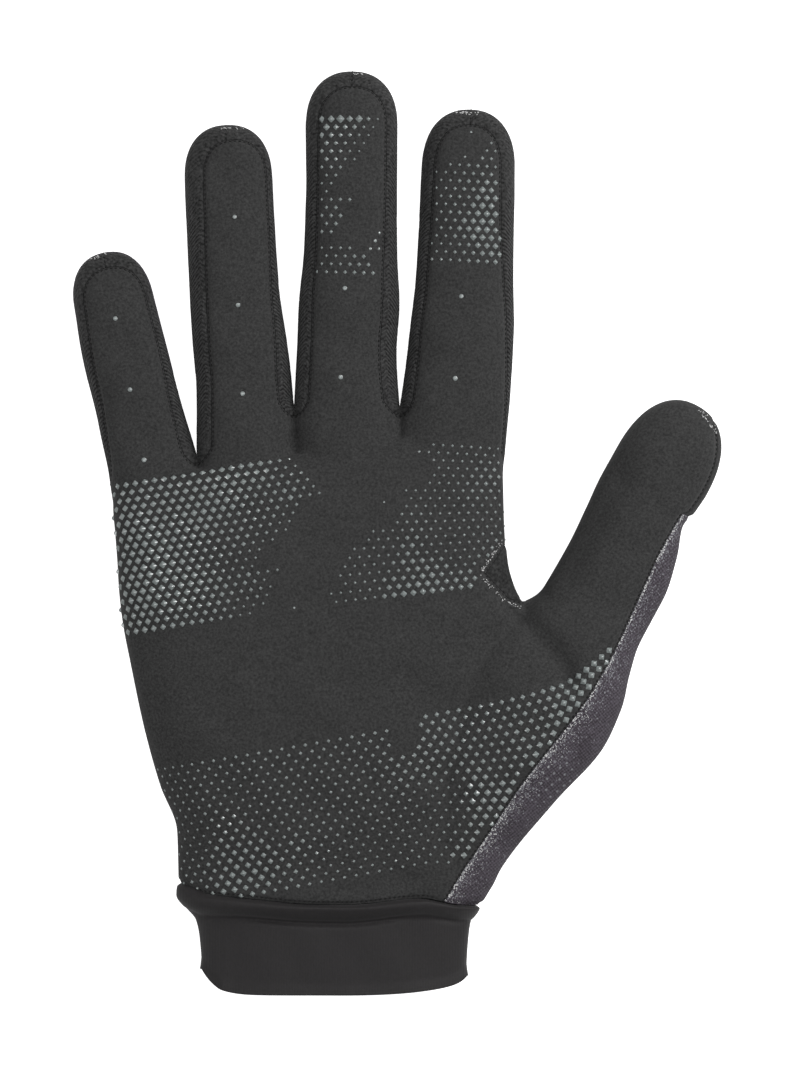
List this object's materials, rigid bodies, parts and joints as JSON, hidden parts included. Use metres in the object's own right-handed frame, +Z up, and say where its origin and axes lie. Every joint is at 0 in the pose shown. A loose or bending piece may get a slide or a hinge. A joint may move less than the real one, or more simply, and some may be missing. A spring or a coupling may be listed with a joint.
{
  "type": "cycling glove",
  "caption": "Long-fingered cycling glove for the right hand, lying palm up: suede palm panel, knit back, side strips between the fingers, web gusset and short stretch cuff.",
  "frame": {"origin": "middle of the glove's bounding box in plan, on the surface that the back of the glove lies on", "axes": "+X across the hand towards the thumb, +Y from the cuff towards the fingertips, +Z up out of the palm"},
  "size_m": [0.1708, 0.2434, 0.0253],
  "materials": {
    "suede_palm": "dark grey synthetic suede, matt and finely napped",
    "side_knit": "near-black ribbed stretch twill",
    "back_knit": "purple-grey fine printed knit",
    "cuff_jersey": "dark smooth stretch jersey",
    "grip_silicone": "raised pale grey silicone, slightly glossy",
    "seam_thread": "black sewing thread",
    "fleck_yarn": "pale yarn that shows in the knit at the seams"
  },
  "bodies": {
    "root": {"palm_panel": "suede_palm", "thumb_tip_patch": "suede_palm", "back_panel": "back_knit", "side_strip_little": "side_knit", "fourchette_little_ring": "side_knit", "fourchette_ring_middle": "side_knit", "fourchette_middle_index": "side_knit", "side_strip_index": "side_knit", "thumb_web_gusset": "side_knit", "cuff": "cuff_jersey"}
  },
  "joints": []
}
